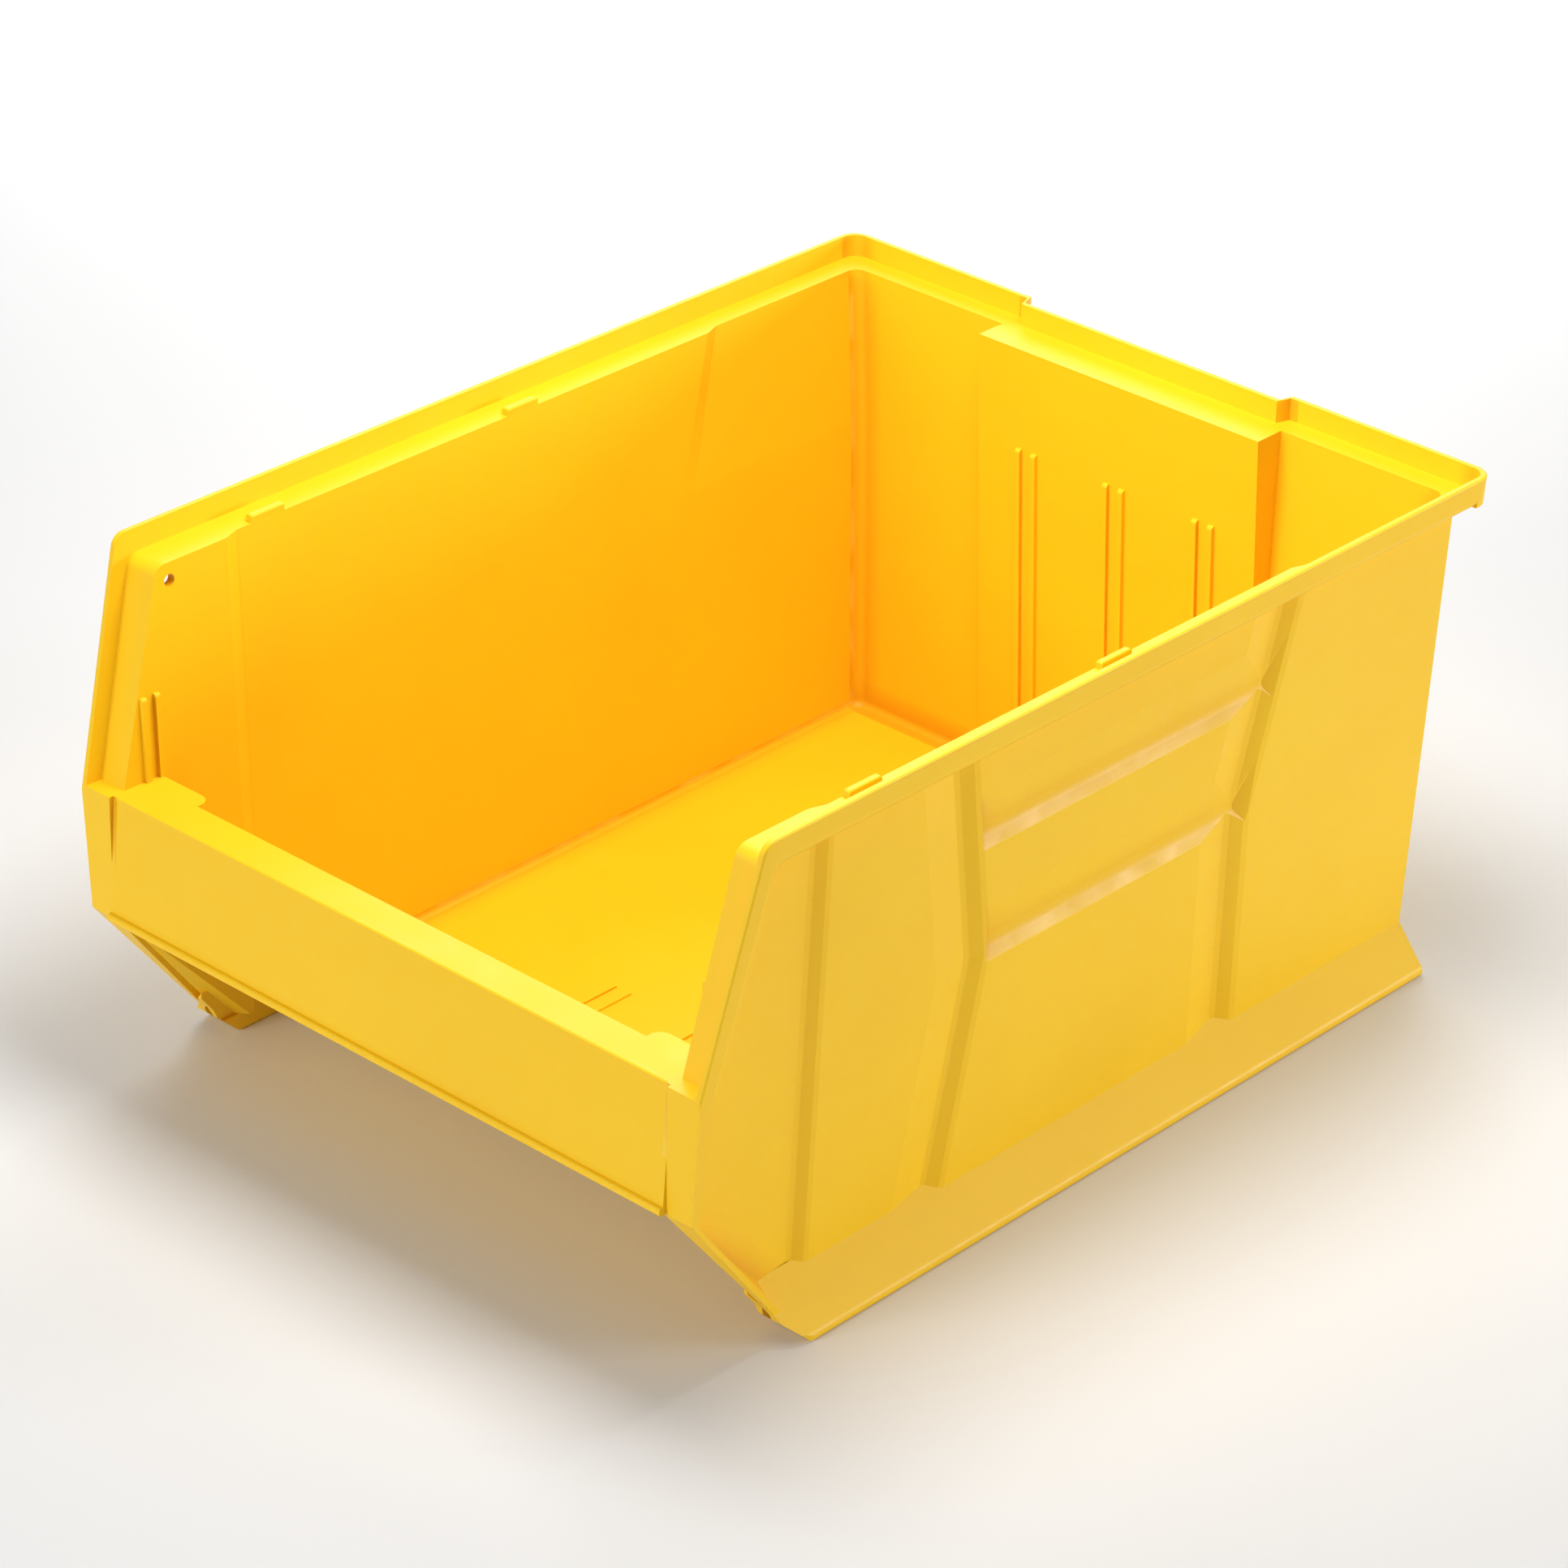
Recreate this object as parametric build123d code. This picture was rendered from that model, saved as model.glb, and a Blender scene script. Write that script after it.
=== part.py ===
from build123d import *
import os

# Stack-and-hang parts bin: one moulding, kept as the regions that a moulder would name.
# Millimetres. Y = 0 at the front bead and X = 0 on the mirror plane while it is drawn; each
# region is moved at the end so that the origin is under the middle of the bin.
# Each region is drawn for the +X half and mirrored. Where two regions meet, the later one is
# cut back to the earlier one, so the regions touch face to face.

# Overall size
length = 606.0                      # front bead to the back of the hanger lip
width = 460.0                       # across the side rims
height = 306.0                      # underside of the stacking rails to the top of the rim

# Wall sections
wall = 3.6                          # nominal moulded thickness
rim_draft = 0.0629                  # sideways lean of the rim face for each millimetre of height
rim_rise = 13.0                     # rim above the stacking ledge
step_back = 10.0                    # front step behind the front edge of the rim
edge_round = 1.2                    # small rounds on the rims, lips and lugs
flange_round = 5.0                  # round under the outer edge of the side flange

# Heights
ledge_z = height - rim_rise         # stacking ledge, top face
web_z = ledge_z - wall              # stacking ledge, underside
lip_z = 176.0                       # picking lip, top face
lip_under_z = lip_z - wall
panel_z = 104.0                     # lower edge of the label panel
floor_z = 15.0                      # floor, top face
under_z = 11.0                      # floor, underside
open_z = height + 40.0              # height of the cutting tools above the rim

# Side outline: the sloping front edge, the corner post and the sloping lower edge
post_y = 4.5                        # front face of the corner post
post_depth = 6.0
brow_y = 38.5                       # where the top and front edges of the rim would meet
brow_round = 9.0
elbow_round = 8.0                   # outer bend between the front step and the stacking ledge
elbow_inner_round = 6.0
brow_split_y = 54.0                 # the top rim and ledge start here
heel_y = 70.0                       # lower end of the sloping lower edge
heel_z = 20.0

# Inner faces of the side walls, as half widths at the floor and at the ledge
inner_floor_x = 197.5
inner_ledge_x = 207.8
nose_step = 3.5                     # the front of each side wall stands this much further in
nose_y = 99.0                       # where that front part ends
tail_step = 3.5                     # the rear of each side wall stands this much further out
tail_fade_z = 200.0                 # height at which the rear step has faded away

# Outer faces of the side walls, rearmost part, as half widths
outer_floor_x = 204.2
outer_ledge_x = 214.8
grip_step = 0.7                     # grip panel, in from the rear part
cheek_step = 2.4                    # plain part in front of the grip panel
nose_outer_step = 4.8               # foremost part
nose_run = 10.0                     # length of the sloping crease inside, behind the foremost part

# Creases outside: the sheet dips a little and then slopes out towards the rear
crease_dip_run = 24.0               # length over which it dips
grip_front_run = 15.0               # length of the slope, front crease of the grip panel
grip_rear_run = 16.0
nose_outer_run = 13.0
nose_dip = 1.2
grip_front_dip = 2.7
grip_rear_dip = 3.6

# Lower edge of a side wall
flare_inner_x = 208.0               # inner face of the wall at the foot of the edge
flare_depth = 13.0                  # distance over which the wall swings out there

# Grip panel: an hourglass with its waist at this height
waist_z = 160.0
toe_top = (73.0, 13.5)                 # y, z of the corner below the heel
toe_tip = (86.0, 1.5)                  # y, z where the toe meets the standing plane
toe_margin = 8.0                       # how far the rail's section runs on ahead of the heel
plan_margin = 12.0                     # how far the rail's plan runs on ahead of the heel
toe_taper = 7.0                        # how much narrower the toe is than the rail
rail_hollow_top = (204.6, 21.0)        # x, z of the top of the hollow inside the rail
grip_front_y = (196.0, 221.0, 199.0)    # front crease at the floor, the waist and the ledge
grip_rear_y = (434.0, 428.0, 460.0)     # rear crease at the floor, the waist and the ledge
grip_shelf_z = (223.5, 155.0)
grip_shelf_depth = 4.6
grip_shelf_fade = 26.0                  # height over which the panel sinks to each shelf
grip_shelf_slope = 9.0                  # height of the slope back out at each shelf
grip_shelf_round = 12.0
grip_shelf_edge_round = 3.0

# Back wall
back_floor_y = 585.0                # inner face of the back wall at the floor
back_ledge_y = 588.0                # and at the ledge
hang_floor_y = 583.5                # inner face of the leaning middle panel at the floor
hang_ledge_y = 568.0                # and at the ledge
hang_half = 100.0                   # half width of the leaning middle panel
notch_half = 93.0                   # half width of the notch in the hanger lip
notch_depth = 8.5
notch_run = 3.0
rear_round = 12.0                   # rim corners seen from above
ledge_split_x = 200.0               # the back ledge ends here and the side ledge starts
ledge_split_y = 340.0               # the part of the side ledge behind the anti-slide lugs
corner_round = 7.0                  # upright corners inside the bin
floor_round = 4.0                   # where the walls meet the floor

# Front wall, picking lip and hopper slope
lip_inner_y = 31.3
lip_pad_y = 40.0                    # the lip is deeper in front of the side walls
lip_pad_x = 161.0
lip_pad_round = 7.0
panel_top_y = 7.2                   # label panel, outer face at the lip
panel_foot_y = 2.5                  # and at its lower edge
panel_half = 200.0                  # half width of the label panel
bead_rise = 4.5                     # bead along the lower edge of the label panel
slope_top_z = 91.0                  # hopper slope, upper face at the front wall
slope_end_y = 136.0                 # hopper slope, upper face at the floor
slope_toe = 16.0                    # level foot of the hopper slope

# Stacking rails
rail_half = 223.3                   # half width across the rails
rail_inner = 198.0
rail_root_x = 199.5                 # the sloping face runs up to here inside the side wall
rail_slope = 1.2356                 # fall of the sloping face for each millimetre outwards
rail_edge_z = 4.5                   # upright part of the outer edge
rail_front_y = 89.5
rail_rear_y = 588.5

# Divider guides, anti-slide lugs, window slot ribs and peg holes
guide_x = (-64.0, 0.0, 64.0)
guide_gap = 7.6                     # clear gap between the two ribs of a guide
guide_width = 3.6
guide_rise = 2.4
floor_guide_rise = 1.4
back_guide_z = 231.0
floor_guide_y = (146.0, 246.0)
lug_spans = ((115.0, 138.0), (302.0, 325.0))
lug_rise = 4.2
lug_width = 4.5
slot_rib_y = (30.5, 39.5)
slot_rib_width = 3.4
slot_rib_rise = 2.6
slot_rib_top_z = 224.0
peg_hole_y = 54.0
peg_hole_z = 282.8
peg_hole_diameter = 7.0

far_front_y = -60.0                 # cutting tools start in front of the bin
far_rear_y = length + 60.0          # and end behind it
far_x = width                       # and beside it


# ---------------------------------------------------------------- helpers

def blend(z, low, high, z_low=floor_z, z_high=ledge_z):
    """Straight-line value at height z, from low at z_low to high at z_high."""
    return low + (high - low) * (z - z_low) / (z_high - z_low)


def waisted(z, values):
    """Value at height z of a line that bends at the waist of the grip panel."""
    at_floor, at_waist, at_ledge = values
    if z < waist_z:
        return blend(z, at_floor, at_waist, floor_z, waist_z)
    return blend(z, at_waist, at_ledge, waist_z, ledge_z)


def rim_x(z):
    """Half width across the outer faces of the rims at height z."""
    return width / 2 - (height - z) * rim_draft


def inner_x(z):
    return blend(z, inner_floor_x, inner_ledge_x)


def nose_x(z):
    return inner_x(z) - nose_step


def tail_x(z):
    fade = max(0.0, (z - tail_fade_z) / (ledge_z - tail_fade_z))
    return inner_x(z) + 0.2 + (tail_step - 0.2) * fade


def tail_y(z):
    """Line along which the inner face steps out, over the rear crease outside."""
    return waisted(z, grip_rear_y) + nose_run / 2


def outer_x(z):
    return blend(z, outer_floor_x, outer_ledge_x)


def crease(z, y, ahead, behind, dip, run):
    """Corners of a crease centred on y, between two insets from the outer face of the wall."""
    low = ahead + dip
    rise = low - behind
    ease = 0.15
    return [
        (outer_x(z) - behind, y + run / 2),
        (outer_x(z) - behind - ease * rise, y + run / 4),
        (outer_x(z) - low + ease * rise, y - run / 4),
        (outer_x(z) - low, y - run / 2),
        (outer_x(z) - ahead, y - run / 2 - crease_dip_run),
    ]


def back_y(z):
    return blend(z, back_floor_y, back_ledge_y)


def hang_y(z):
    return blend(z, hang_floor_y, hang_ledge_y)


def front_edge_y(z, inset=0.0):
    """Sloping front edge of the rim at height z, moved in square to itself by inset."""
    lean = (brow_y - post_y) / (height - lip_z)
    return post_y + lean * (z - lip_z) + inset * (1 + lean * lean) ** 0.5


def lower_edge_y(z, inset=0.0):
    """Sloping lower edge of a side wall at height z, moved in square to itself by inset."""
    lean = (heel_y - post_y) / (panel_z - heel_z)
    return post_y + lean * (panel_z - z) + inset * (1 + lean * lean) ** 0.5


def flare_x(z):
    """Inner face of the side wall along its sloping lower edge."""
    if z > panel_z:
        return nose_x(z)
    return blend(z, flare_inner_x, nose_x(panel_z), heel_z, panel_z)


def face_of(points, radii=None):
    """Flat face with the given corners; radii[i] rounds corner i, and 0 leaves it sharp."""
    face = make_face(Polyline(*points, close=True))
    for point, radius in zip(points, radii or []):
        if radius:
            corner = face.vertices().sort_by_distance(Vector(*point, 0))[0]
            face = fillet(corner, radius)
    return face


def side_prism(points, x_from, x_to, radii=None):
    """Solid with a side outline of (distance from the front, height) points."""
    face = Plane.YZ.offset(x_from) * face_of(points, radii)
    return extrude(face, amount=x_to - x_from)


def section_prism(points, y_from, y_to, radii=None):
    """Solid with a cross-section of (half width, height) points, run from front to back."""
    face = Plane.XZ.offset(-y_from) * face_of(points, radii)
    return extrude(face, amount=y_from - y_to)


def plan_loft(outline_at, levels, radii=None):
    """Solid whose outline seen from above changes along straight lines between the levels."""
    sections = [(Pos(0, 0, z) * face_of(outline_at(z), radii)).face() for z in levels]
    return loft(sections, ruled=True)


def block(x_from, x_to, y_from, y_to, z_from, z_to):
    size = (x_to - x_from, y_to - y_from, z_to - z_from)
    return Pos(x_from, y_from, z_from) * Box(*size, align=(Align.MIN, Align.MIN, Align.MIN))


# ---------------------------------------------------------------- rooms that are cut out

def cavity():
    """The room inside the walls, +X half, open at the top and above the picking lip."""
    def outline(z):
        return [
            (0, far_front_y),
            (nose_x(z), far_front_y),
            (nose_x(z), nose_y - nose_run / 2),
            (inner_x(z), nose_y + nose_run / 2),
            (inner_x(z), tail_y(z) - nose_run / 2),
            (tail_x(z), tail_y(z) + nose_run / 2),
            (tail_x(z), back_y(z)),
            (hang_half, back_y(z)),
            (hang_half, hang_y(z)),
            (0, hang_y(z)),
        ]

    levels = (floor_z, waist_z, tail_fade_z, ledge_z, open_z)
    room = plan_loft(outline, levels, radii=[0, 0, 0, 0, 0, 0, corner_round, 0, 0, 0])
    inside = side_prism(
        [
            (far_front_y, lip_z),
            (lip_inner_y, lip_z),
            (lip_inner_y, slope_top_z),
            (slope_end_y, floor_z),
            (far_rear_y, floor_z),
            (far_rear_y, open_z),
            (far_front_y, open_z),
        ],
        -1, far_x, radii=[0, 0, 8, 14, 0, 0, 0])
    room = room & inside
    floor_edges = room.edges().filter_by(
        lambda edge: abs(edge.center().Z - floor_z) < 0.01 and edge.center().X > 1
        and (edge.center().Y > back_floor_y - corner_round or edge.center().X > inner_floor_x - 5))
    return fillet(floor_edges, floor_round)


def rim_block(inset, z_from, z_to):
    """Everything inside the outer faces of the rims, moved in by inset, +X half."""
    def outline(z):
        rear = length - inset
        return [
            (0, far_front_y),
            (rim_x(z) - inset, far_front_y),
            (rim_x(z) - inset, rear),
            (notch_half + notch_run / 2, rear),
            (notch_half - notch_run / 2, rear - notch_depth),
            (0, rear - notch_depth),
        ]

    return plan_loft(outline, (z_from, z_to), radii=[0, 0, rear_round - inset, 0, 0, 0])


def side_outline():
    """Everything inside the outline of the bin seen from the side."""
    return side_prism(
        [
            (brow_y, height),
            (post_y, lip_z),
            (post_y, panel_z),
            (heel_y, heel_z),
            toe_top,
            toe_tip,
            (rail_front_y, 0),
            (far_rear_y, 0),
            (far_rear_y, height),
        ],
        -1, far_x, radii=[brow_round, 0, 0, 4, 3, 0, 0, 0, 0])


def trough():
    """The room above the stacking ledge and in front of the front step."""
    step = side_prism(
        [
            (far_front_y, lip_z),
            (front_edge_y(lip_z, step_back), lip_z),
            (front_edge_y(ledge_z, step_back), ledge_z),
            (far_rear_y, ledge_z),
            (far_rear_y, open_z),
            (far_front_y, open_z),
        ],
        -1, far_x, radii=[0, 0, elbow_round, 0, 0, 0])
    return step & rim_block(wall, panel_z, open_z)


def under_flange():
    """The room under the ledge and behind the front step, where the side walls stand."""
    inset = step_back + wall
    return side_prism(
        [
            (post_y + post_depth, lip_under_z),
            (front_edge_y(lip_under_z, inset), lip_under_z),
            (front_edge_y(web_z, inset), web_z),
            (far_rear_y, web_z),
            (far_rear_y, -1),
            (lower_edge_y(-1, wall), -1),
            (post_y + post_depth, panel_z - 4),
        ],
        -1, far_x, radii=[0, 0, elbow_inner_round, 0, 0, 0, 0])


# ---------------------------------------------------------------- regions, +X half

def side_wall():
    """Side wall sheet with its creases; the shelves, the flare and the peg hole included."""
    def outline(z):
        sheet = outer_x(z) - nose_outer_step - nose_x(z)
        edge = lower_edge_y(min(z, panel_z))
        swing = blend(min(z, panel_z), flare_depth, 2.0, heel_z, panel_z)
        half_nose = nose_run / 2
        rear = back_y(z) + wall
        return [
            (flare_x(z), edge - 20),
            (flare_x(z), edge),
            (nose_x(z), edge + swing),
            (nose_x(z), nose_y - half_nose),
            (inner_x(z), nose_y + half_nose),
            (inner_x(z), tail_y(z) - half_nose),
            (tail_x(z), tail_y(z) + half_nose),
            (tail_x(z), rear),
            (outer_x(z), rear),
            *crease(z, waisted(z, grip_rear_y), grip_step, 0.0, grip_rear_dip, grip_rear_run),
            *crease(z, waisted(z, grip_front_y), cheek_step, grip_step, grip_front_dip, grip_front_run),
            *crease(z, nose_y, nose_outer_step, cheek_step, nose_dip, nose_outer_run)[:-1],
            (outer_x(z) - nose_outer_step, edge + swing),
            (flare_x(z) + sheet, edge),
            (flare_x(z) + sheet, edge - 20),
        ]

    levels = (under_z, panel_z, waist_z, tail_fade_z, web_z)
    sheet = plan_loft(outline, levels) & under_flange()
    for shelf_z in grip_shelf_z:
        sheet -= shelf_cut(shelf_z)
    peg_hole = Pos(width / 2, peg_hole_y, peg_hole_z) * Rot(0, 90, 0) * Cylinder(
        peg_hole_diameter / 2, width)
    return sheet - peg_hole


def shelf_cut(shelf_z):
    """Tool that sinks the grip panel towards a shelf and leaves a step facing up."""
    deep_z = shelf_z + grip_shelf_slope
    top_z = deep_z + grip_shelf_fade

    def panel_x(z):
        return outer_x(z) - grip_step

    sink = section_prism(
        [
            (panel_x(top_z) + 0.01, top_z),
            (panel_x(deep_z) - grip_shelf_depth, deep_z),
            (panel_x(shelf_z), shelf_z),
            (panel_x(shelf_z) + 0.2, shelf_z - 3),
            (panel_x(shelf_z) + 30, shelf_z - 3),
            (panel_x(shelf_z) + 30, top_z),
        ],
        0, length, radii=[0, grip_shelf_round, grip_shelf_edge_round, 0, 0, 0])

    def span(z):
        front = waisted(z, grip_front_y) + grip_front_run / 2
        rear = waisted(z, grip_rear_y) + grip_rear_run / 2
        return [
            (panel_x(z) - grip_shelf_depth - 1, front + 4),
            (panel_x(z) - grip_shelf_depth - 1, rear - grip_rear_run),
            (panel_x(z) + 2, rear),
            (panel_x(z) + 2, front - 2),
        ]

    return sink & plan_loft(span, (shelf_z - 4, top_z + 0.5))


def underside_room():
    """The open room under the hopper slope, between the lower edges of the side walls."""
    return section_prism(
        [
            (-1, panel_z - 0.5),
            (flare_x(panel_z), panel_z - 0.5),
            (flare_x(heel_z), heel_z),
            (flare_x(heel_z), -1),
            (-1, -1),
        ],
        far_front_y, slope_end_y)


def stacking_rail():
    """Runner along the bottom of a side wall: a hollow skirt, open at its front end."""
    skirt = section_prism(
        [
            (rail_root_x, rail_edge_z + rail_slope * (rail_half - rail_root_x)),
            (rail_half, rail_edge_z),
            (rail_half, 0),
            (rail_inner, 0),
            (rail_inner, under_z),
            (rail_root_x, under_z),
        ],
        heel_y - toe_margin, rail_rear_y, radii=[0, 5, 2.2, 1.5, 0, 0])
    hollow = section_prism(
        [
            rail_hollow_top,
            (rail_half - wall - 1.5, rail_edge_z + 1),
            (rail_half - wall - 1.5, wall),
            (rail_inner + wall, wall),
            (rail_inner + wall, under_z),
        ],
        0, rail_rear_y - wall)
    plan = extrude(face_of(
        [
            (rail_inner - 1, heel_y - plan_margin),
            (rail_half - toe_taper, heel_y - plan_margin),
            (rail_half, rail_front_y - 2),
            (rail_half, far_rear_y),
            (rail_inner - 1, far_rear_y),
        ],
        radii=[0, 0, 14, 0, 0]), amount=rail_root_x)
    return ((skirt & plan) - hollow) & side_outline()


def picking_lip():
    """Flat top of the front wall, round along its front and rear edges."""
    return side_prism(
        [
            (panel_top_y, lip_under_z),
            (panel_top_y, lip_z),
            (lip_inner_y, lip_z),
            (lip_inner_y, lip_under_z),
        ],
        0, panel_half, radii=[0, edge_round, edge_round, 0])


def lip_pad():
    """The deeper end of the picking lip, beside the side wall."""
    pad = block(lip_pad_x, panel_half, lip_inner_y - wall, lip_pad_y, lip_under_z, lip_z)
    corner = pad.edges().filter_by(Axis.Z).sort_by_distance(Vector(lip_pad_x, lip_pad_y, lip_z))[0]
    return fillet(corner, lip_pad_round)


def label_panel():
    """Flat front face that hangs from the picking lip."""
    bead_top = panel_z + bead_rise
    return side_prism(
        [
            (panel_top_y, lip_under_z),
            (panel_top_y + wall, lip_under_z),
            (panel_foot_y + wall, bead_top),
            (panel_foot_y, bead_top),
        ],
        0, panel_half)


def front_bead():
    """Stiffening bead along the lower edge of the label panel."""
    bead_top = panel_z + bead_rise
    return side_prism(
        [
            (0, panel_z),
            (0, bead_top),
            (panel_foot_y + wall, bead_top),
            (panel_foot_y + wall, panel_z),
        ],
        0, panel_half, radii=[1.6, 1.6, 0, 0])


def front_wall():
    """Inner front wall, from the rear edge of the picking lip down to the hopper slope."""
    return block(0, panel_half, lip_inner_y - wall, lip_inner_y + 12, slope_top_z, lip_under_z)


def hopper_slope():
    """Sloping sheet from the foot of the inner front wall to the floor."""
    fall = (slope_top_z - floor_z) / (slope_end_y - lip_inner_y)
    drop = wall * (1 + fall * fall) ** 0.5
    start_z = slope_top_z - drop + wall * fall
    return side_prism(
        [
            (lip_inner_y - wall, start_z),
            (lip_inner_y - wall, slope_top_z),
            (lip_inner_y + 12, slope_top_z),
            (slope_end_y + slope_toe, floor_z + 4),
            (slope_end_y + slope_toe, under_z),
            (lip_inner_y - wall + (start_z - under_z) / fall, under_z),
        ],
        0, panel_half)


def floor():
    """Flat floor sheet with the coves along its side edges."""
    start_y = slope_end_y + slope_toe
    return block(0, far_x, start_y, hang_floor_y - 2, under_z, floor_z + floor_round)


def back_wall():
    """Back wall sheet with the leaning middle panel and the coves in its corners."""
    def outline(z):
        front = hang_y(z) - corner_round - 1
        return [
            (0, front),
            (far_x, front),
            (far_x, back_y(z) + wall),
            (hang_half - wall, back_y(z) + wall),
            (hang_half - wall, hang_y(z) + wall),
            (0, hang_y(z) + wall),
        ]

    return plan_loft(outline, (under_z, web_z))


def between_walls():
    """Everything between the inner faces of the side walls, for trimming the cross sheets."""
    def outline(z):
        return [
            (0, far_front_y),
            (nose_x(z), far_front_y),
            (nose_x(z), nose_y - nose_run / 2),
            (inner_x(z), nose_y + nose_run / 2),
            (inner_x(z), tail_y(z) - nose_run / 2),
            (tail_x(z), tail_y(z) + nose_run / 2),
            (tail_x(z), far_rear_y),
            (0, far_rear_y),
        ]

    return plan_loft(outline, (-1, waist_z, tail_fade_z, ledge_z, open_z))


def guide_rib(x, line, rise, top_z=None):
    """One low rib of a divider guide; line holds the two ends of its foot as (y, z)."""
    (y_0, z_0), (y_1, z_1) = line
    if top_z:
        outline = [(y_0 - rise, z_0), (y_1 - rise, z_1), (y_1 + 1, z_1), (y_0 + 1, z_0)]
    else:
        outline = [(y_0, z_0 - 1), (y_0, z_0 + rise), (y_1, z_1 + rise), (y_1, z_1 - 1)]
    radii = [0, 0.9 * rise, 0, 0] if top_z else [0, 0, 0.9 * rise, 0]
    return side_prism(outline, x - guide_width / 2, x + guide_width / 2, radii=radii)


def guide(x, line, rise, top_z=None):
    """A pair of ribs that hold the edge of a divider between them."""
    reach = (guide_gap + guide_width) / 2
    return [guide_rib(x - reach, line, rise, top_z), guide_rib(x + reach, line, rise, top_z)]


def anti_slide_lugs():
    """Low blocks on the inner edge of the stacking ledge."""
    lugs = []
    for y_from, y_to in lug_spans:
        x_from = inner_x(ledge_z)
        lug = block(x_from, x_from + lug_width, y_from, y_to, ledge_z, ledge_z + lug_rise)
        lugs.append(fillet(lug.faces().sort_by(Axis.Z)[-1].edges(), edge_round))
    return lugs


def slot_ribs():
    """Two upright ribs inside a front corner that hold a window in front of the opening."""
    ribs = []
    for y in slot_rib_y:
        low = nose_x(lip_z)
        high = nose_x(slot_rib_top_z)
        ribs.append(section_prism(
            [
                (low - slot_rib_rise, lip_z),
                (high - slot_rib_rise, slot_rib_top_z),
                (high + 1, slot_rib_top_z),
                (low + 1, lip_z),
            ],
            y - slot_rib_width / 2, y + slot_rib_width / 2, radii=[0, 1.8, 0, 0]))
    return ribs


# ---------------------------------------------------------------- frame around one side

def frame_ring(room, front_parts):
    """Ledge, rim, front step, corner post and lower edge of one side, before splitting."""
    ring = (rim_block(0, -1, height) & side_outline()) - under_flange() - trough() - room
    ring -= block(-1, nose_x(panel_z), far_front_y, lip_pad_y, -1, lip_z)
    ring -= underside_room()
    clear = side_prism(
        [
            (far_front_y, -1),
            (post_y, -1),
            (post_y, panel_z),
            (panel_foot_y, panel_z),
            (panel_foot_y, panel_z + bead_rise),
            (panel_top_y, lip_z),
            (far_front_y, lip_z),
        ],
        -1, panel_half)
    ring -= clear
    for part in front_parts:
        ring -= part
    return ring


def rounded_under(side):
    """One side of the frame with the round under the outer edge of its flange."""
    def is_under_edge(edge):
        middle = edge.center()
        on_rim_face = abs(middle.X - rim_x(middle.Z)) < 0.6
        behind_rim = middle.Y > front_edge_y(middle.Z, step_back) + 1
        return on_rim_face and behind_rim and lip_z + 5 < middle.Z < web_z + 0.5

    return fillet(side.edges().filter_by(is_under_edge), flange_round)


def rounded_top(side):
    """One side of the frame with the outer edge of its rim rounded."""
    def is_top_edge(edge):
        middle = edge.center()
        on_rim_face = abs(middle.X - rim_x(middle.Z)) < 1.5
        ahead_of_step = middle.Y < front_edge_y(middle.Z) + 2.5 and middle.Z > lip_z + 5
        return on_rim_face and (ahead_of_step or middle.Z > height - 0.01)

    return fillet(side.edges().filter_by(is_top_edge), edge_round)


def rounded_hanger(rear):
    """The rear of the frame with the long outer edges of the hanger lip rounded."""
    def is_outer_edge(edge):
        middle = edge.center()
        line_y = length if middle.X > notch_half else length - notch_depth
        along_lip = middle.Y > line_y - wall / 3 and abs(middle.X - notch_half) > notch_run
        on_corner = middle.X + middle.Y > width / 2 + length - 0.7 * rear_round
        return middle.Z > height - 0.01 and (along_lip or on_corner)

    return fillet(rear.edges().filter_by(is_outer_edge), edge_round)


def frame_regions(ring):
    """Split the frame of one side into its named regions."""
    hanger_y = back_ledge_y + wall
    side = ring & block(-1, far_x, far_front_y, hanger_y, -1, open_z)
    side = rounded_top(rounded_under(side))
    rear = rounded_hanger(ring & block(-1, far_x, hanger_y, far_rear_y, -1, open_z))
    inner = rim_block(wall, -1, open_z)
    below_panel = block(-1, far_x, far_front_y, brow_split_y * 2, -1, panel_z)
    post_zone = block(-1, far_x, far_front_y, brow_split_y, panel_z, lip_z)
    front_zone = block(-1, far_x, far_front_y, brow_split_y, lip_z, open_z)
    top_zone = block(-1, far_x, brow_split_y, hanger_y, lip_z, open_z)
    beside_back = block(ledge_split_x, far_x, brow_split_y, far_rear_y, -1, open_z)
    front_web = side & top_zone & inner
    rear_web = rear & inner
    side_web = (front_web + rear_web) & beside_back
    behind_lugs = block(-1, far_x, ledge_split_y, far_rear_y, -1, open_z)
    centre = block(-1, hang_half, brow_split_y, far_rear_y, -1, open_z)
    lip = rear - inner
    return {
        "slope_edge": side & below_panel,
        "corner_post": side & post_zone,
        "front_step": side & front_zone & inner,
        "front_rim": (side & front_zone) - inner,
        "side_ledge": side_web - behind_lugs,
        "side_ledge_rear": side_web & behind_lugs,
        "side_rim": (side & top_zone) - inner,
        "back_wall_head": (front_web - beside_back) - centre,
        "back_ledge": (rear_web - beside_back) - centre,
        "back_ledge_centre": ((front_web + rear_web) - beside_back) & centre,
        "hanger_lip": lip - centre,
        "hanger_lip_centre": lip & centre,
    }


# ---------------------------------------------------------------- the whole bin

def grip_zone():
    """Everything from the front crease of the grip panel to its rear crease, both included."""
    heights = (-1, waist_z, web_z + 1)
    front = [(waisted(z, grip_front_y) - grip_front_run / 2, z) for z in heights]
    rear = [(waisted(z, grip_rear_y) + grip_rear_run / 2, z) for z in heights]
    return side_prism(front + rear[::-1], -1, far_x)


CROSS_SHEETS = (
    "front_inner_wall", "hopper_slope", "back_wall", "hang_cheek", "hang_panel", "floor_panel")


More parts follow.
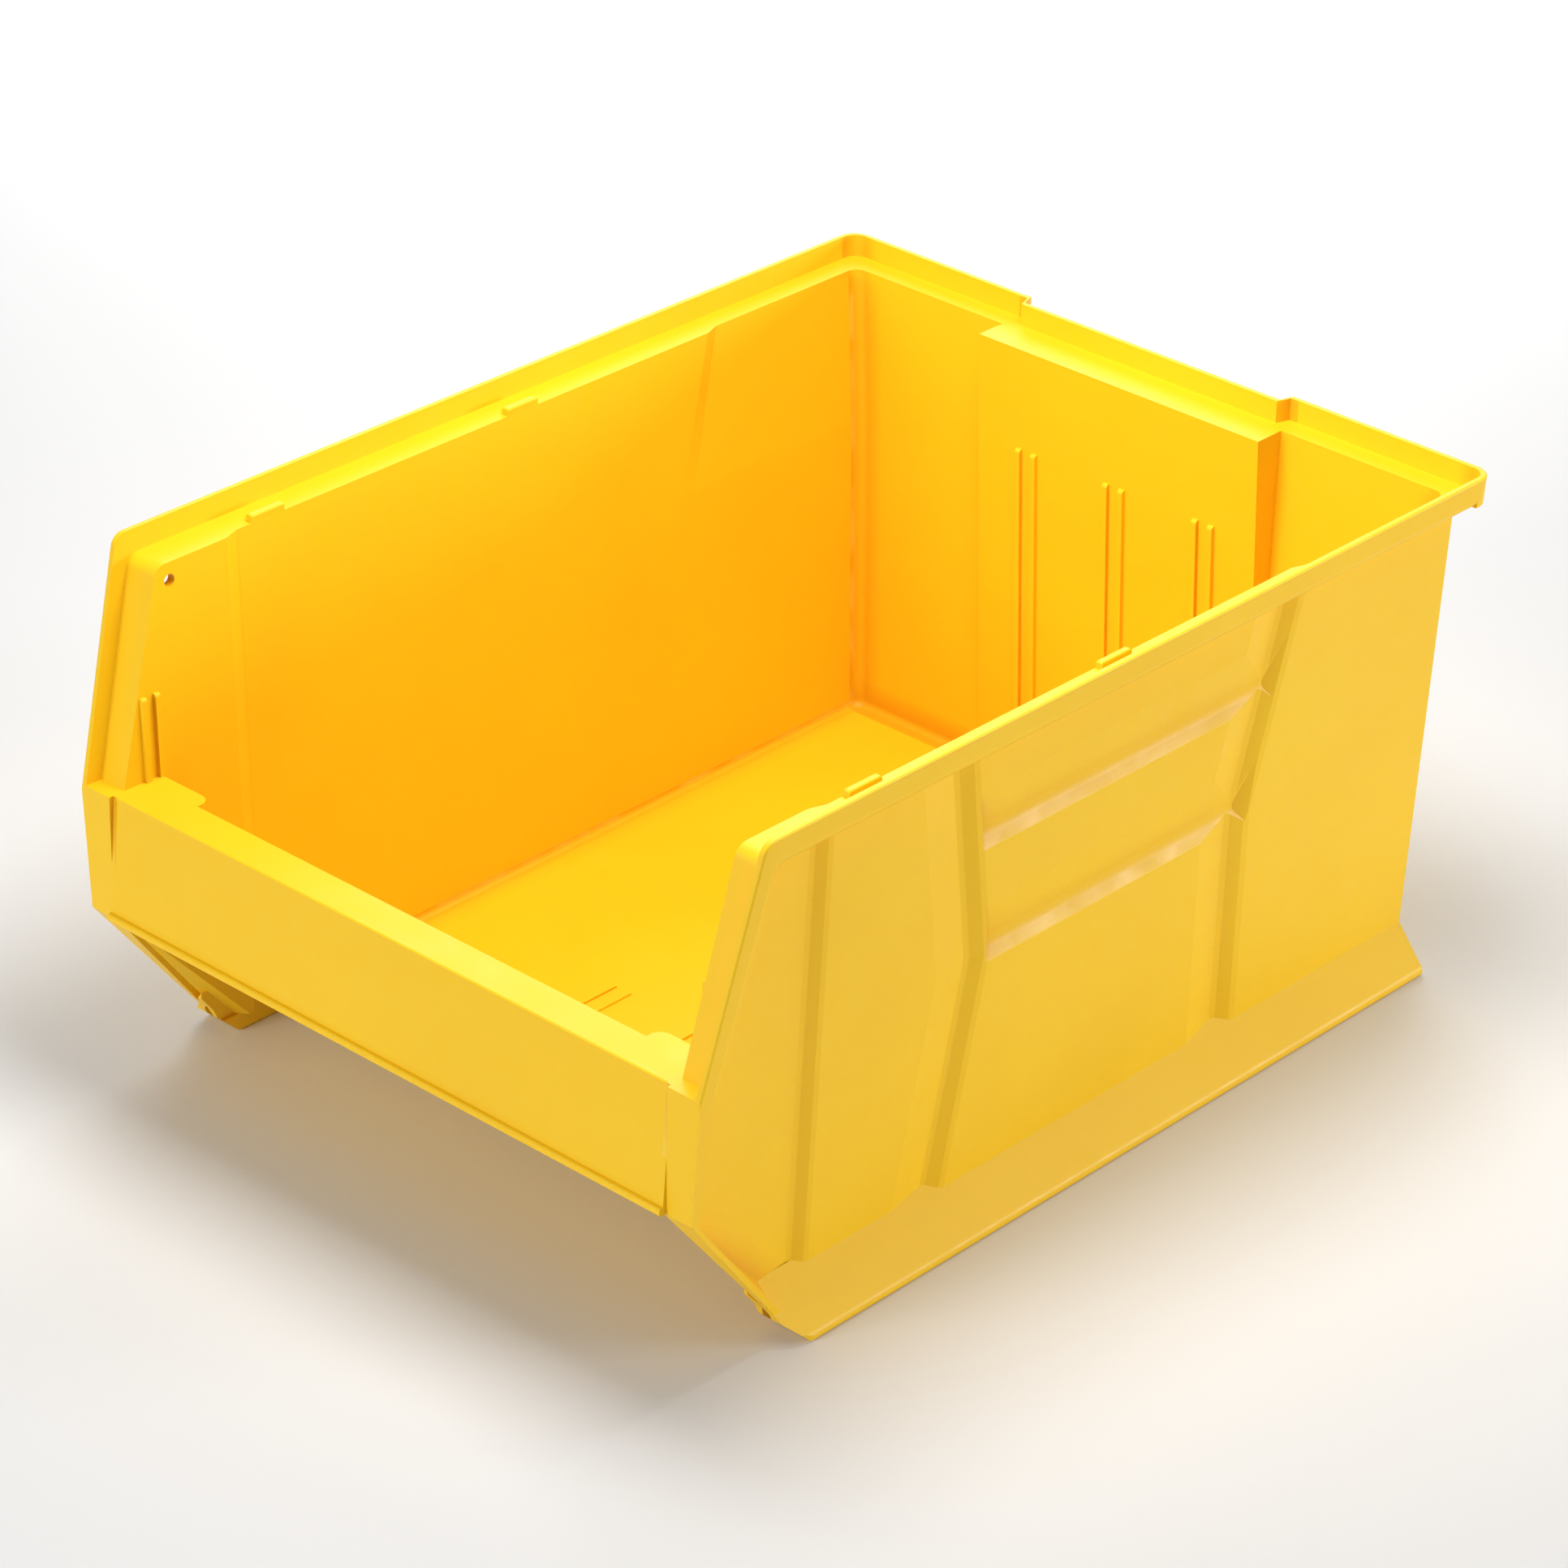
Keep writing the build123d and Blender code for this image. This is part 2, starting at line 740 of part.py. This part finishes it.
def half_regions():
    """Every region of the +X half, in the order in which the later ones give way."""
    room = cavity()
    between = between_walls()
    lip_room = between + block(0, panel_half, far_front_y, post_y + post_depth, -1, open_z)
    lip = picking_lip() & lip_room
    pad = lip_pad() & between
    panel = label_panel()
    bead = front_bead()
    sheet = side_wall()
    nose = block(-1, far_x, far_front_y, nose_y + nose_outer_run / 2, -1, open_z)
    front_half = block(-1, far_x, far_front_y, length / 2, -1, open_z)
    back = (back_wall() & between) - room
    centre = block(-1, hang_half - wall, far_front_y, far_rear_y, -1, open_z)
    middle = block(-1, hang_half, far_front_y, far_rear_y, -1, open_z)

    halves = {
        "front_bottom_bead": bead,
        "front_label_panel": panel,
        "side_nose": sheet & nose,
        "grip_panel": sheet & grip_zone(),
        "side_panel": (sheet & front_half) - grip_zone() - nose,
        "side_tail": (sheet - grip_zone()) - front_half,
        "lip_pad": pad,
        "picking_lip": lip,
    }
    halves.update(frame_regions(frame_ring(room, [lip, pad, panel, bead])))
    halves.update({
        "front_inner_wall": (front_wall() & between) - room,
        "hopper_slope": largest((hopper_slope() - room) & between),
        "back_wall": back - middle,
        "hang_cheek": (back & middle) - centre,
        "hang_panel": back & centre,
        "floor_panel": (floor() & between) - room,
        "stacking_rail": stacking_rail(),
    })
    return halves


def largest(shape):
    """The biggest solid of a shape, without any empty scrap that a cut leaves beside it."""
    return shape.solids().sort_by(SortBy.VOLUME)[-1]


def boxes_meet(first, second):
    a, b = first.bounding_box(), second.bounding_box()
    return all(
        low < high for low, high in (
            (a.min.X, b.max.X), (b.min.X, a.max.X), (a.min.Y, b.max.Y),
            (b.min.Y, a.max.Y), (a.min.Z, b.max.Z), (b.min.Z, a.max.Z)))


def ahead_of(name, halves):
    """The earlier regions that a region can overlap; cross sheets are already cut to the side walls."""
    return [shape for other, shape in halves.items() if name not in CROSS_SHEETS or other in CROSS_SHEETS]


def give_way(shape, others):
    """The shape without whatever the earlier regions already fill."""
    for other in others:
        if boxes_meet(shape, other):
            shape = shape - other
    return shape


def both_sides(name, shape):
    """A region and its mirror image, named as seen by someone facing the front."""
    return {name + "_right": shape, name + "_left": mirror(shape, about=Plane.YZ)}


def across(shape):
    """A region that runs through the mirror plane, made whole."""
    return shape + mirror(shape, about=Plane.YZ)


def guide_regions(done):
    """Divider guides on the back wall and on the floor, trimmed to the sheets behind them."""
    back_line = [(hang_y(floor_z), floor_z), (hang_y(back_guide_z), back_guide_z)]
    floor_line = [(y, floor_z) for y in floor_guide_y]
    guides = {}
    for side, x in zip(("left", "centre", "right"), guide_x):
        on_back = guide(x, back_line, guide_rise, back_guide_z)
        on_floor = guide(x, floor_line, floor_guide_rise)
        guides["back_guide_" + side] = [give_way(rib, done) for rib in on_back]
        guides["floor_guide_" + side] = [give_way(rib, done) for rib in on_floor]
    return guides


def bin_nodes():
    """Every named region of the whole bin, each as a list of solids."""
    halves = {}
    for name, raw in half_regions().items():
        halves[name] = give_way(raw, ahead_of(name, halves))

    nodes = {}
    for name, shape in halves.items():
        if shape.bounding_box().min.X < 1:
            nodes[name] = across(shape)
        else:
            nodes.update(both_sides(name, shape))

    lugs = [give_way(lug, halves.values()) for lug in anti_slide_lugs()]
    ribs = [give_way(rib, halves.values()) for rib in slot_ribs()]
    nodes.update(both_sides("anti_slide_lugs", Compound(lugs)))
    nodes.update(both_sides("window_slot_ribs", Compound(ribs)))
    sheets = [nodes["hang_panel"], nodes["floor_panel"], nodes["hopper_slope"]]
    nodes.update({name: Compound(pair) for name, pair in guide_regions(sheets).items()})
    return nodes


if __name__ == "__main__":
    os.makedirs("parts", exist_ok=True)
    centred = Pos(0, -length / 2, 0)
    for name, shape in bin_nodes().items():
        solids = [centred * solid for solid in shape.solids()]
        whole = solids[0] if len(solids) == 1 else Compound(solids)
        whole.label = name
        export_step(whole, "parts/" + name + ".step")
        print(name, len(solids), round(whole.volume))
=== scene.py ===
import math

import bpy
from mathutils import Matrix, Vector

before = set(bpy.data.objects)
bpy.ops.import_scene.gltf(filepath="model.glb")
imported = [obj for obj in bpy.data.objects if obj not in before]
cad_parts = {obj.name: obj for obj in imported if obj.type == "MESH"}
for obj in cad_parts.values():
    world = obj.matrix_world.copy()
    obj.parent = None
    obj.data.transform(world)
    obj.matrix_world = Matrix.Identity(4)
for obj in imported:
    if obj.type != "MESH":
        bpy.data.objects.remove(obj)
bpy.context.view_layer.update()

# ------------------------------------------------------------------ driving values, metres

# Camera, solved from the straight edges of the bin
CAMERA_AT = Vector((1.7170, -1.8984, 1.5513))
CAMERA_AZIMUTH = math.radians(42.13)
CAMERA_ELEVATION = math.radians(28.77)
CAMERA_ROLL = math.radians(1.38)
CAMERA_LENS_MM = 125.7
CAMERA_FAR_CLIP = 50.0
SENSOR_MM = 36.0

# Plastic colours, and the scales of its noises in cycles per metre
PLASTIC = (0.930, 0.575, 0.010, 1.0)
DEEP_PLASTIC = (0.880, 0.520, 0.008, 1.0)
CLOUD_SCALE = 9.0
CLOUD_AMOUNT = 0.5
SMEAR_SCALE = 60.0
SHEEN_SMOOTHEST = 0.37
SHEEN_ROUGHEST = 0.49
GRAIN_SCALE = 1500.0
GRAIN_STRENGTH = 0.10
GRAIN_HEIGHT = 0.0003
PLASTIC_IOR = 1.49
SPECULAR_LEVEL = 0.3

# Rays sampled for each occlusion reading
OCCLUSION_SAMPLES = 8

# Painted shade in hollows, a darker colour where shade falls: full painted shade at CREASE_DEEP and
# below, none at CREASE_OPEN and above
CREASE_PAINTED_SHADE_COLOUR = (0.760, 0.370, 0.005, 1.0)
CREASE_REACH = 0.018
CREASE_DEEP = 0.86
CREASE_OPEN = 0.985
CREASE_SHADE = 0.9

# Paler colour along outer edges, in patches
WORN_PLASTIC = (0.960, 0.700, 0.120, 1.0)
WORN_EDGE_RADIUS = 0.0015
WORN_EDGE_AMOUNT = 0.35
WORN_EDGE_LIMIT = 0.4
WORN_PATCH_SCALE = 35.0
WORN_PATCH_FROM = 0.4
WORN_PATCH_TO = 0.6

# Stage
STAGE_HALF = 6.0
STAGE_COLOUR = (0.78, 0.78, 0.78, 1.0)
STAGE_OTHER_COLOUR = (0.74, 0.74, 0.74, 1.0)
STAGE_CLOUD_SCALE = 3.0
STAGE_CLOUD_AMOUNT = 0.04
STAGE_ROUGHNESS = 0.9

# Light: a bright room, a lamp over the open top, two low lamps beside the bin, one over the far stage
WHITE = (1.0, 1.0, 1.0, 1.0)
ROOM_STRENGTH = 0.36
LAMPS = (
    # name, place, aim, side of the square, watts
    ("overhead", (0.09, -0.04, 1.00), (0.0, 0.0, 0.20), 0.45, 8.0),
    ("right", (3.10, 2.60, 0.45), (0.0, 0.0, 0.15), 1.2, 92.0),
    ("front", (-0.50, -2.90, 0.90), (0.0, 0.0, 0.15), 1.2, 36.0),
    ("backdrop", (-1.20, 1.40, 1.20), (-1.20, 1.40, 0.0), 1.4, 26.0),
)


# ------------------------------------------------------------------ small node helpers

def new_material(name):
    """An empty node material with its shader and output; returns material, nodes, links, shader."""
    material = bpy.data.materials.new(name)
    material.use_nodes = True
    nodes = material.node_tree.nodes
    links = material.node_tree.links
    nodes.clear()
    output = nodes.new("ShaderNodeOutputMaterial")
    shader = nodes.new("ShaderNodeBsdfPrincipled")
    links.new(shader.outputs["BSDF"], output.inputs["Surface"])
    return material, nodes, links, shader


def noise(nodes, links, coordinates, scale, detail=3.0):
    """A noise value over the surface, at a scale in cycles per metre."""
    texture = nodes.new("ShaderNodeTexNoise")
    texture.inputs["Scale"].default_value = scale
    texture.inputs["Detail"].default_value = detail
    texture.inputs["Roughness"].default_value = 0.5
    links.new(coordinates, texture.inputs["Vector"])
    return texture.outputs["Fac"]


def spread(nodes, links, value, low, high, from_low=0.3, from_high=0.7):
    """Maps a value's range from_low to from_high onto the range low to high."""
    mapping = nodes.new("ShaderNodeMapRange")
    mapping.inputs["From Min"].default_value = from_low
    mapping.inputs["From Max"].default_value = from_high
    mapping.inputs["To Min"].default_value = low
    mapping.inputs["To Max"].default_value = high
    links.new(value, mapping.inputs["Value"])
    return mapping.outputs["Result"]


def tint(nodes, links, colour, factor, other):
    """Mixes a colour, given as a tuple or a socket, towards another one by a factor."""
    mixer = nodes.new("ShaderNodeMix")
    mixer.data_type = "RGBA"
    links.new(factor, mixer.inputs["Factor"])
    if isinstance(colour, tuple):
        mixer.inputs["A"].default_value = colour
    else:
        links.new(colour, mixer.inputs["A"])
    mixer.inputs["B"].default_value = other
    return mixer.outputs["Result"]


def occlusion(nodes, reach, inside):
    """How open the surface is within a reach, on its outer side or through its inside."""
    reading = nodes.new("ShaderNodeAmbientOcclusion")
    reading.inputs["Distance"].default_value = reach
    reading.inside = inside
    reading.only_local = True
    reading.samples = OCCLUSION_SAMPLES
    return reading.outputs["AO"]


# ------------------------------------------------------------------ materials

def painted_crease_shade(nodes, links, colour):
    """Darkens a colour with painted shade in the hollows of the surface."""
    # painted shade: the less open the surface, the darker the colour
    hollow = occlusion(nodes, CREASE_REACH, inside=False)
    depth = spread(nodes, links, hollow, CREASE_SHADE, 0.0, CREASE_DEEP, CREASE_OPEN)
    return tint(nodes, links, colour, depth, CREASE_PAINTED_SHADE_COLOUR)


def worn_edges(nodes, links, coordinates, colour):
    """Pales a colour along the outer edges of each node, in patches."""
    edge = occlusion(nodes, WORN_EDGE_RADIUS, inside=True)
    rubbed = spread(nodes, links, edge, WORN_EDGE_AMOUNT, 0.0, 0.0, WORN_EDGE_LIMIT)
    patches = noise(nodes, links, coordinates, WORN_PATCH_SCALE)
    amount = nodes.new("ShaderNodeMath")
    amount.operation = "MULTIPLY"
    links.new(rubbed, amount.inputs[0])
    links.new(
        spread(nodes, links, patches, 0.0, 1.0, WORN_PATCH_FROM, WORN_PATCH_TO),
        amount.inputs[1])
    return tint(nodes, links, colour, amount.outputs["Value"], WORN_PLASTIC)


def plastic_material():
    """Yellow moulded plastic with a fine grain and painted shade in its creases, in object
    coordinates.
    """
    material, nodes, links, shader = new_material("moulded_polypropylene")
    coordinates = nodes.new("ShaderNodeTexCoord").outputs["Object"]

    cloud = noise(nodes, links, coordinates, CLOUD_SCALE, 2.0)
    colour = tint(nodes, links, PLASTIC, spread(nodes, links, cloud, 0.0, CLOUD_AMOUNT), DEEP_PLASTIC)
    # Painted shade: the colour is darkened in creases and hollows, where shade falls.
    colour = painted_crease_shade(nodes, links, colour)
    links.new(worn_edges(nodes, links, coordinates, colour), shader.inputs["Base Color"])

    smear = noise(nodes, links, coordinates, SMEAR_SCALE, 4.0)
    links.new(
        spread(nodes, links, smear, SHEEN_SMOOTHEST, SHEEN_ROUGHEST),
        shader.inputs["Roughness"])

    bump = nodes.new("ShaderNodeBump")
    bump.inputs["Strength"].default_value = GRAIN_STRENGTH
    bump.inputs["Distance"].default_value = GRAIN_HEIGHT
    links.new(noise(nodes, links, coordinates, GRAIN_SCALE, 2.0), bump.inputs["Height"])
    links.new(bump.outputs["Normal"], shader.inputs["Normal"])

    shader.inputs["IOR"].default_value = PLASTIC_IOR
    shader.inputs["Specular IOR Level"].default_value = SPECULAR_LEVEL
    return material


def stage_material():
    """Pale matt paper."""
    material, nodes, links, shader = new_material("stage_paper")
    coordinates = nodes.new("ShaderNodeTexCoord").outputs["Object"]
    cloud = noise(nodes, links, coordinates, STAGE_CLOUD_SCALE)
    tone = spread(nodes, links, cloud, 0.0, STAGE_CLOUD_AMOUNT)
    links.new(tint(nodes, links, STAGE_COLOUR, tone, STAGE_OTHER_COLOUR), shader.inputs["Base Color"])
    shader.inputs["Roughness"].default_value = STAGE_ROUGHNESS
    return material


# ------------------------------------------------------------------ scene parts

def dress_nodes():
    """Every CAD node keeps its mesh and gets the moulded plastic."""
    plastic = plastic_material()
    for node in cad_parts.values():
        if not node.material_slots:
            node.data.materials.append(plastic)
        for slot in node.material_slots:
            slot.material = plastic


def add_floor():
    """One large square of paper on the plane that the rails stand on."""
    mesh = bpy.data.meshes.new("stage_floor")
    corners = [
        (-STAGE_HALF, -STAGE_HALF, 0),
        (STAGE_HALF, -STAGE_HALF, 0),
        (STAGE_HALF, STAGE_HALF, 0),
        (-STAGE_HALF, STAGE_HALF, 0),
    ]
    mesh.from_pydata(corners, [], [(0, 1, 2, 3)])
    mesh.materials.append(stage_material())
    floor = bpy.data.objects.new("stage_floor", mesh)
    bpy.context.scene.collection.objects.link(floor)


def add_area_light(name, at, aim, size, watts):
    """A square lamp that the camera doesn't see."""
    light = bpy.data.lights.new(name, "AREA")
    light.shape = "SQUARE"
    light.size = size
    light.energy = watts
    lamp = bpy.data.objects.new(name, light)
    lamp.location = at
    lamp.rotation_euler = (Vector(aim) - Vector(at)).to_track_quat("-Z", "Y").to_euler()
    lamp.visible_camera = False
    bpy.context.scene.collection.objects.link(lamp)


def add_light():
    """The room's even white light and the lamps."""
    world = bpy.data.worlds.new("studio")
    bpy.context.scene.world = world
    world.use_nodes = True
    background = world.node_tree.nodes["Background"]
    background.inputs["Color"].default_value = WHITE
    background.inputs["Strength"].default_value = ROOM_STRENGTH
    for lamp in LAMPS:
        add_area_light(*lamp)


def add_camera():
    """A camera at the driving place, turned by azimuth and elevation and then rolled."""
    back = Vector((
        math.sin(CAMERA_AZIMUTH) * math.cos(CAMERA_ELEVATION),
        -math.cos(CAMERA_AZIMUTH) * math.cos(CAMERA_ELEVATION),
        math.sin(CAMERA_ELEVATION)))
    level = Vector((math.cos(CAMERA_AZIMUTH), math.sin(CAMERA_AZIMUTH), 0))
    upright = back.cross(level)
    across = math.cos(CAMERA_ROLL) * level + math.sin(CAMERA_ROLL) * upright
    up = -math.sin(CAMERA_ROLL) * level + math.cos(CAMERA_ROLL) * upright
    turned = Matrix((across, up, back)).transposed().to_4x4()

    camera = bpy.data.cameras.new("photo_angle")
    camera.lens = CAMERA_LENS_MM
    camera.sensor_width = SENSOR_MM
    camera.clip_end = CAMERA_FAR_CLIP
    holder = bpy.data.objects.new("photo_angle", camera)
    holder.matrix_world = Matrix.Translation(CAMERA_AT) @ turned
    bpy.context.scene.collection.objects.link(holder)
    bpy.context.scene.camera = holder


dress_nodes()
add_floor()
add_light()
add_camera()
bpy.context.scene.view_settings.view_transform = "Standard"
